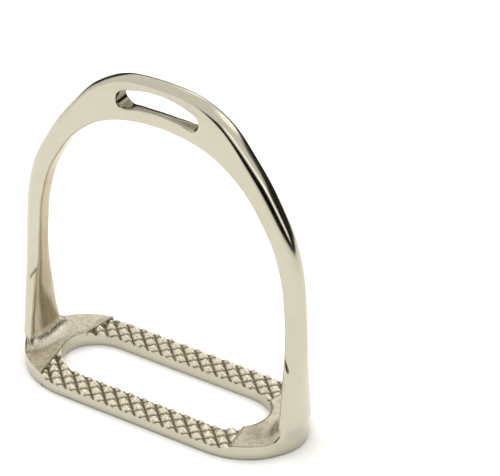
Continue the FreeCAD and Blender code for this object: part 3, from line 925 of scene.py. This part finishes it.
def rail(side, sizes, tree):
    """One cross-cut rail; side is -1 for the front and 1 for the rear."""
    name = "front_tread_bar" if side < 0 else "rear_tread_bar"
    blank = rail_blank(name + "_blank", side, sizes)
    modifier = blank.modifiers.new("cross_cut", "NODES")
    modifier.node_group = tree
    modifier[socket_id(tree, "Pitch")] = sizes.cut_pitch
    modifier[socket_id(tree, "Depth")] = sizes.cut_depth
    modifier[socket_id(tree, "Row")] = side * sizes.cut_row
    modifier[socket_id(tree, "Unevenness")] = sizes.cut_uneven
    modifier[socket_id(tree, "Seed")] = sizes.cut_seed
    bpy.context.view_layer.update()
    shaped = blank.evaluated_get(bpy.context.evaluated_depsgraph_get())
    mesh = bpy.data.meshes.new_from_object(shaped)
    bpy.data.objects.remove(blank)
    mesh.name = name + "_look"
    piece = bpy.data.objects.new(name + "_look", mesh)
    bpy.context.scene.collection.objects.link(piece)
    place(piece, name, "cross_cut_metal")


# ---------------------------------------------------------------- operators

class STIRRUP_OT_arch(bpy.types.Operator):
    """Make the crown with its eye and the two branches"""
    bl_idname = "stirrup.arch"
    bl_label = "Arch"

    def execute(self, context):
        last = len(KNOTS) - 1
        swept_piece("left_branch", NICK_STATION, last - RIGHT_CROWN)
        swept_piece("right_branch", RIGHT_CROWN, RIGHT_NICK)
        crown_piece(context.scene.stirrup_sizes)
        return {"FINISHED"}


class STIRRUP_OT_feet(bpy.types.Operator):
    """Make the two flared feet"""
    bl_idname = "stirrup.feet"
    bl_label = "Feet"

    def execute(self, context):
        swept_piece("left_foot", 0, NICK_STATION)
        swept_piece("right_foot", RIGHT_NICK, len(KNOTS) - 1)
        return {"FINISHED"}


class STIRRUP_OT_tread(bpy.types.Operator):
    """Make the two plain ends and the two cross-cut rails of the tread"""
    bl_idname = "stirrup.tread"
    bl_label = "Tread"

    def execute(self, context):
        sizes = context.scene.stirrup_sizes
        for side in (-1.0, 1.0):
            tread_end(side, sizes)
        tree = cross_cut_tree(shared_metal())
        for side in (-1.0, 1.0):
            rail(side, sizes, tree)
        bpy.data.node_groups.remove(tree)
        return {"FINISHED"}


# ---------------------------------------------------------------- stage

def floor_material(colour):
    """Pale matt floor with a faint grain."""
    material = bpy.data.materials.new("pale_floor")
    material.use_nodes = True
    tree = material.node_tree
    tree.nodes.clear()
    nodes = Nodes(tree)
    grain = nodes.grain(nodes.add("ShaderNodeTexCoord")["Object"], 40.0, 3.0, 0.5)
    low = tuple(value * 0.985 for value in colour)
    shade = nodes.blend(grain, rgba(low), rgba(colour))
    shader = nodes.add("ShaderNodeBsdfPrincipled", None, {
        "Base Color": shade, "Roughness": 0.9, "Specular IOR Level": 0.1})["BSDF"]
    nodes.add("ShaderNodeOutputMaterial", None, {"Surface": shader})
    return material


def lobe(nodes, way, heading, inner, outer):
    """Share of a direction that lies within a cone round a heading, angles in degrees."""
    heading = Vector(heading).normalized()
    near = nodes.add("ShaderNodeVectorMath", {"operation": "DOT_PRODUCT"},
                     {0: way, 1: tuple(heading)})["Value"]
    return near.ramp(math.cos(math.radians(outer)), math.cos(math.radians(inner)))


def studio_world(scene):
    """Soft boxes above and behind, dark room beyond the floor and behind the camera."""
    world = bpy.data.worlds.new("studio")
    world.use_nodes = True
    tree = world.node_tree
    tree.nodes.clear()
    nodes = Nodes(tree)
    way = nodes.add("ShaderNodeTexCoord")["Generated"]
    axes = nodes.add("ShaderNodeSeparateXYZ", None, {"Vector": way})
    level = (axes["Z"] - axes["X"].ramp(-0.45, 0.4) * 0.13).ramp(0.17, 0.27) * 0.98 + 0.02
    level = level.math("MAXIMUM", lobe(nodes, way, (-0.6, -0.75, 0.15), 48.0, 75.0) * 0.95)
    level = level * (1.0 - lobe(nodes, way, (0.56, -0.70, 0.44), 26.0, 42.0) * 0.97)
    for heading, inner, outer, strength in SOFT_LIGHTS:
        level = level + lobe(nodes, way, heading, inner, outer) * strength
    seen = nodes.add("ShaderNodeLightPath")["Is Camera Ray"]
    back = nodes.add("ShaderNodeBackground", None, {
        "Color": rgba(WARM_WHITE), "Strength": seen * 0.92 + (1.0 - seen) * level})["Background"]
    nodes.add("ShaderNodeOutputWorld", None, {"Surface": back})
    scene.world = world


def add_floor(scene, stage):
    """A square floor under the iron."""
    radius = stage.floor_radius
    mesh = bpy.data.meshes.new("floor")
    corners = [(-radius, -radius, 0.0), (radius, -radius, 0.0),
               (radius, radius, 0.0), (-radius, radius, 0.0)]
    mesh.from_pydata(corners, [], [(0, 1, 2, 3)])
    floor = bpy.data.objects.new("floor", mesh)
    mesh.materials.append(floor_material(stage.floor_colour))
    scene.collection.objects.link(floor)


def add_overhead_light(scene, stage):
    """A wide soft light above the iron, aimed at the origin."""
    light = bpy.data.lights.new("overhead", "AREA")
    light.shape = "DISK"
    light.size = 1.1
    light.energy = stage.key_power
    light.color = WARM_WHITE
    lamp = bpy.data.objects.new("overhead", light)
    lamp.location = (-0.15, 0.1, 1.0)
    lamp.rotation_mode = "QUATERNION"
    lamp.rotation_quaternion = (-Vector(lamp.location)).to_track_quat("-Z", "Y")
    lamp.visible_glossy = False
    scene.collection.objects.link(lamp)


def add_camera(scene, stage):
    """The camera, at the front and to the right of the iron."""
    back = Vector((math.sin(AZIMUTH) * math.cos(ELEVATION),
                   -math.cos(AZIMUTH) * math.cos(ELEVATION), math.sin(ELEVATION)))
    right = Vector((math.cos(AZIMUTH), math.sin(AZIMUTH), 0.0))
    up = back.cross(right)
    across = math.cos(ROLL) * right + math.sin(ROLL) * up
    upward = -math.sin(ROLL) * right + math.cos(ROLL) * up
    data = bpy.data.cameras.new("camera")
    data.sensor_width = 36.0
    data.lens = stage.lens
    data.clip_start = 0.05
    data.clip_end = 20.0
    camera = bpy.data.objects.new("camera", data)
    turn = Matrix((across, upward, back)).transposed().to_4x4()
    turn.translation = (across * ACROSS + upward * UPWARD + back * BACK) * MM
    camera.matrix_world = turn
    scene.collection.objects.link(camera)
    scene.camera = camera


class STIRRUP_OT_stage(bpy.types.Operator):
    """Make the floor, the soft light and the camera"""
    bl_idname = "stirrup.stage"
    bl_label = "Stage"

    def execute(self, context):
        scene = context.scene
        stage = scene.stirrup_stage
        scene.view_settings.view_transform = "Standard"
        add_floor(scene, stage)
        studio_world(scene)
        add_overhead_light(scene, stage)
        add_camera(scene, stage)
        return {"FINISHED"}


# ---------------------------------------------------------------- panel and main

class STIRRUP_PT_panel(bpy.types.Panel):
    """Lists the steps that make the stirrup iron"""
    bl_idname = "STIRRUP_PT_panel"
    bl_label = "Stirrup Iron"
    bl_space_type = "VIEW_3D"
    bl_region_type = "UI"
    bl_category = "Stirrup"

    def draw(self, context):
        for operator in STEPS:
            self.layout.operator(operator.bl_idname)


STEPS = (STIRRUP_OT_arch, STIRRUP_OT_feet, STIRRUP_OT_tread, STIRRUP_OT_stage)
CLASSES = (StirrupSizes, StirrupFinishes, StirrupStage) + STEPS + (STIRRUP_PT_panel,)


def register():
    """Register the classes and the settings."""
    for item in CLASSES:
        bpy.utils.register_class(item)
    bpy.types.Scene.stirrup_sizes = bpy.props.PointerProperty(type=StirrupSizes)
    bpy.types.Scene.stirrup_finishes = bpy.props.PointerProperty(type=StirrupFinishes)
    bpy.types.Scene.stirrup_stage = bpy.props.PointerProperty(type=StirrupStage)


def unregister():
    """Take the settings and the classes away."""
    del bpy.types.Scene.stirrup_stage
    del bpy.types.Scene.stirrup_finishes
    del bpy.types.Scene.stirrup_sizes
    for item in reversed(CLASSES):
        bpy.utils.unregister_class(item)


def main():
    """Make every piece and the stage."""
    register()
    for item in STEPS:
        group, name = item.bl_idname.split(".")
        getattr(getattr(bpy.ops, group), name)()


if __name__ == "__main__":
    main()
